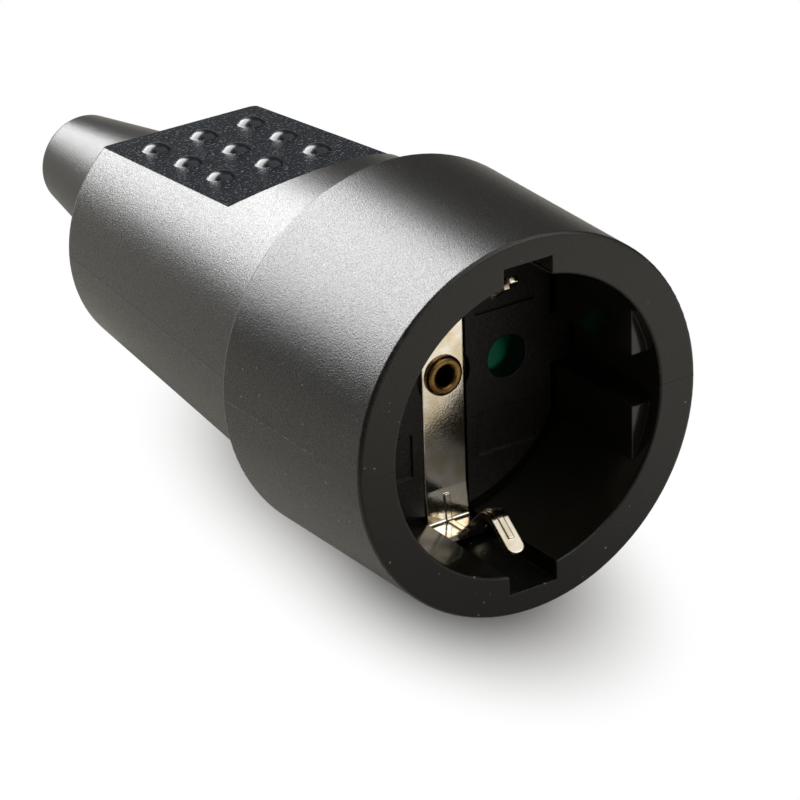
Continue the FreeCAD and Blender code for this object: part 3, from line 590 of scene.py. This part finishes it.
close_length = CLOSE_TURNS * CLOSE_PITCH
open_length = SPRING_HIGH - SPRING_LOW - WIRE - 2 * close_length
open_pitch = open_length / OPEN_TURNS
runs = [
    run_of_turns(0.0, CLOSE_TURNS, CLOSE_PITCH),
    run_of_turns(close_length, OPEN_TURNS, open_pitch),
    run_of_turns(close_length + open_length, CLOSE_TURNS, CLOSE_PITCH),
]
print("open turns:", OPEN_TURNS, "at a pitch of", round(open_pitch / MM, 2), "mm")

# %% [markdown]
# The three runs are joined, their meeting rings are welded and the two cut ends are filled. The spring is
# then moved to its pocket between the shutter's lug and the wall.

# %% Join, weld and move the spring
WELD = 0.005 * MM
SPRING_ALONG = 23.25 * MM
SPRING_UP = 7.0 * MM

bpy.ops.object.select_all(action="DESELECT")
for run in runs:
    run.select_set(True)
bpy.context.view_layer.objects.active = runs[0]
bpy.ops.object.join()
spring = bpy.context.object
spring.name = "closing_spring"
bpy.ops.object.mode_set(mode="EDIT")
bpy.ops.mesh.select_all(action="SELECT")
bpy.ops.mesh.remove_doubles(threshold=WELD)
bpy.ops.mesh.fill_holes(sides=WIRE_SIDES)
bpy.ops.mesh.select_all(action="SELECT")
bpy.ops.mesh.normals_make_consistent(inside=False)
bpy.ops.transform.translate(value=(SPRING_LOW + WIRE / 2, SPRING_ALONG, SPRING_UP))
bpy.ops.object.mode_set(mode="OBJECT")
bpy.ops.object.shade_smooth()
print("spring:", len(spring.data.polygons), "faces")

# %% [markdown]
# So far the spring stands in the socket's own axes. It is turned down to the lying pose, and the turn
# goes into its mesh. From then on it rides with the housing, in the place of the plain one.

# %% Lay the spring down
def lay_down(piece):
    """Turns a piece from the socket's own axes into the lying pose, and bakes that into its mesh."""
    bpy.ops.object.select_all(action="DESELECT")
    piece.select_set(True)
    bpy.context.view_layer.objects.active = piece
    piece.rotation_euler = (-DIP, 0, 0)
    bpy.ops.object.transform_apply(location=True, rotation=True, scale=True)


lay_down(spring)
spring.data.materials.append(wire.material)
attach(spring, "housing")
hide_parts("shutter_spring")
print("spring reaches, in mm:", [round(side / MM, 2) for side in spring.dimensions])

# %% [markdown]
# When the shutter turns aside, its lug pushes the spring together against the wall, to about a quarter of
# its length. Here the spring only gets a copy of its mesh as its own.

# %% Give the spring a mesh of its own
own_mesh(spring)

# %% [markdown]
# ## A plain white table
# The floor is one large plane. Round the connector it is as pale as a sheet of paper, and farther out it
# is darker, so that what the black plastic mirrors near the horizon is dark and its highlights stay
# clear.

# %% Floor with a pale sheet
FLOOR_SIZE = 6.0
SHEET_MIDDLE = 20 * MM
SHEET_EDGE = (0.115, 0.21)
SHEET_PALE = (0.38, 0.36, 0.32, 1)
TABLE_DARK = (0.06, 0.06, 0.055, 1)
TABLE_ROUGHNESS = 0.9
TABLE_GLOSS = 0.1

floor_level = cad_low.z
bpy.ops.object.select_all(action="DESELECT")
bpy.ops.mesh.primitive_plane_add(size=FLOOR_SIZE, location=(0, 0, floor_level))
floor = bpy.context.object
floor.name = "floor"
table = Finish("pale table")
across, along = table.parts(table.node("ShaderNodeTexCoord", {}, {}, "Object"))[:2]


def far_from(middle):
    """Distance on the table from a point on the connector's middle line."""
    past = along - middle
    return (across * across + past * past).math("SQRT")


on_sheet = 1 - far_from(SHEET_MIDDLE).step(*SHEET_EDGE)
pale = table.mix(on_sheet, TABLE_DARK, SHEET_PALE)
table.set(Base_Color=pale, Roughness=TABLE_ROUGHNESS, Specular_IOR_Level=TABLE_GLOSS)
print("floor level, in mm:", round(floor_level / MM, 2))

# %% [markdown]
# A table that is lit from all around keeps only a tight soft shadow under the object and goes to white a
# few centimetres away from it. Here that is painted: the share of a glow that lifts the table to white
# rises with the distance from a short line under the connector, so the rendered shadow shows only near
# it. That line leans a little, as the shadow does.

# %% Where the painted glow lifts the table to white
SHADOW_MIDDLE = 2.5 * MM
SHADOW_LEAN = 0.056
SHADOW_HALF_WIDTH = 17.7 * MM
SHADOW_FRONT = 15.5 * MM
SHADOW_REAR = 31.7 * MM
SHADOW_FADE = 24.9 * MM
WHITE_RISE = (0.30, 1.53)

aside = (across - SHADOW_MIDDLE + SHADOW_LEAN * (along - SHADOW_FRONT)) * (1 / SHADOW_HALF_WIDTH)
beyond = (SHADOW_FRONT - along).math("MAXIMUM", 0.0) + (along - SHADOW_REAR).math("MAXIMUM", 0.0)
beyond = beyond * (1 / SHADOW_FADE)
painted_glow_share = (aside * aside + beyond * beyond).math("SQRT").step(*WHITE_RISE)
white_from = WHITE_RISE[1] * SHADOW_HALF_WIDTH
print("fully white from", round(white_from / MM, 1), "mm beside the middle of the shadow")

# %% [markdown]
# The plastic and the metal mirror the glow too, as a painted reflection that is strong in front of the
# connector and to its right. On the left and behind, what they mirror is much darker, and far off it fades
# away.

# %% How much of the white is mirrored
MIRROR_LEAST = 0.1
MIRROR_RIGHT = (14 * MM, 80 * MM)
MIRROR_FRONT = (-40 * MM, 20 * MM)
MIRROR_MIDDLE = -80 * MM
MIRROR_EDGE = (0.24, 0.34)

on_right = across.step(*MIRROR_RIGHT)
in_front = 1 - along.step(*MIRROR_FRONT)
mirrored = MIRROR_LEAST + (1 - MIRROR_LEAST) * on_right * in_front
mirrored = mirrored * (1 - far_from(MIRROR_MIDDLE).step(*MIRROR_EDGE))
print("mirrored white from", MIRROR_LEAST, "to 1")

# %% [markdown]
# Seen by the camera, and mirrored, the table is lifted to white by glowing there. All other rays meet the
# plain table, so the light that it throws on the connector stays that of a pale sheet. The mirrored glow
# is slightly warm.

# %% Lift the table to white
WHITE = (1, 1, 1, 1)
WARM_WHITE = (1.0, 0.97, 0.89, 1)
GLOW = 1.0

rays = ("Is Camera Ray", "Is Glossy Ray", "Is Transmission Ray")
to_camera, to_gloss, to_glass = table.outlets(table.node("ShaderNodeLightPath", {}, {}), rays)
seen = (to_camera + mirrored * to_gloss + mirrored * to_glass).math("MINIMUM", 1.0)
lift_inputs = {"Color": table.mix(to_camera, WARM_WHITE, WHITE), "Strength": GLOW}
lift = table.node("ShaderNodeEmission", {}, lift_inputs)
plain_table = Signal(table, table.shader.outputs[0])
blend = table.node("ShaderNodeMixShader", {}, {0: seen * painted_glow_share, 1: plain_table, 2: lift})
table.feed(table.tree.nodes["Material Output"].inputs["Surface"], blend)
floor.data.materials.append(table.material)
print("table:", len(table.tree.nodes), "nodes")

# %% [markdown]
# ## Soft studio light
# One large soft box stands behind the connector, a little to its left, and reaches down to the table. Its
# reflection is the broad bright band on the collar, the handle and the sleeve. A weak, larger one hangs
# overhead, and another weak one in front keeps the rim and the recess from going black. Area lamps are
# used, because gloss mirrors them as bright rectangles, as it does real soft boxes. A lamp's power is set
# from its brightness, which takes four times the area.

# %% Lamps
POWER_PER_AREA = 4
middle = (cad_low + cad_high) / 2


def soft_box(name, azimuth, elevation, distance, width, height, radiance):
    """A rectangular lamp of a set brightness, at that azimuth and elevation from the connector's middle."""
    lamp = bpy.data.lights.new(name, "AREA")
    lamp.shape = "RECTANGLE"
    lamp.size = width
    lamp.size_y = height
    lamp.energy = radiance * POWER_PER_AREA * width * height
    lamp_object = bpy.data.objects.new(name, lamp)
    bpy.context.scene.collection.objects.link(lamp_object)
    turn = math.radians(azimuth)
    rise = math.radians(elevation)
    outward = Vector((math.sin(turn) * math.cos(rise), -math.cos(turn) * math.cos(rise), math.sin(rise)))
    lamp_object.location = middle + outward * distance
    lamp_object.rotation_euler = (-outward).to_track_quat("-Z", "Y").to_euler()
    print(name, "at", [round(v, 2) for v in lamp_object.location], "with", round(lamp.energy, 2), "W")


soft_box("rear soft box", azimuth=-165.5, elevation=23, distance=0.75, width=0.68, height=0.66, radiance=8.1)
soft_box("top soft box", azimuth=80, elevation=68, distance=0.9, width=1.2, height=1.1, radiance=0.65)
soft_box("front soft box", azimuth=30, elevation=38, distance=0.9, width=0.9, height=0.7, radiance=0.9)

# %% [markdown]
# The room around them is dim and slightly warm, so that no side of the black plastic is quite black.

# %% World
ROOM = (0.105, 0.10, 0.09, 1)
world = bpy.data.worlds.new("studio")
world.use_nodes = True
world.node_tree.nodes["Background"].inputs["Color"].default_value = ROOM
bpy.context.scene.world = world
print("room colour:", ROOM[:3])

# %% [markdown]
# ## The camera
# A long lens looks down on the mouth from the front left, with a slight roll. Its place, lens and roll
# were found from the outlines of the rim, the collar and the handle in the picture, so the view can be
# laid over it.

# %% Camera
LENS = 207.5
SENSOR_WIDTH = 36.0
LENS_SHIFT = (-0.0002, 0.0033)
NEAR_CLIP = 0.01
CAMERA_PLACE = Vector((-286.96, -340.96, 329.13)) * MM
CAMERA_AIM = Vector((-12.19, 10.30, 0.82)) * MM
CAMERA_ROLL = math.radians(7.22)

lens = bpy.data.cameras.new("camera")
lens.lens = LENS
lens.sensor_width = SENSOR_WIDTH
lens.shift_x, lens.shift_y = LENS_SHIFT
lens.clip_start = NEAR_CLIP
camera = bpy.data.objects.new("camera", lens)
bpy.context.scene.collection.objects.link(camera)
camera.location = CAMERA_PLACE
level_view = (CAMERA_AIM - CAMERA_PLACE).to_track_quat("-Z", "Y")
camera.rotation_mode = "QUATERNION"
camera.rotation_quaternion = level_view @ Quaternion((0, 0, 1), CAMERA_ROLL)
bpy.context.scene.camera = camera
bpy.context.scene.view_settings.view_transform = "Standard"
print("camera is", round((CAMERA_AIM - CAMERA_PLACE).length / MM), "mm from its aim")
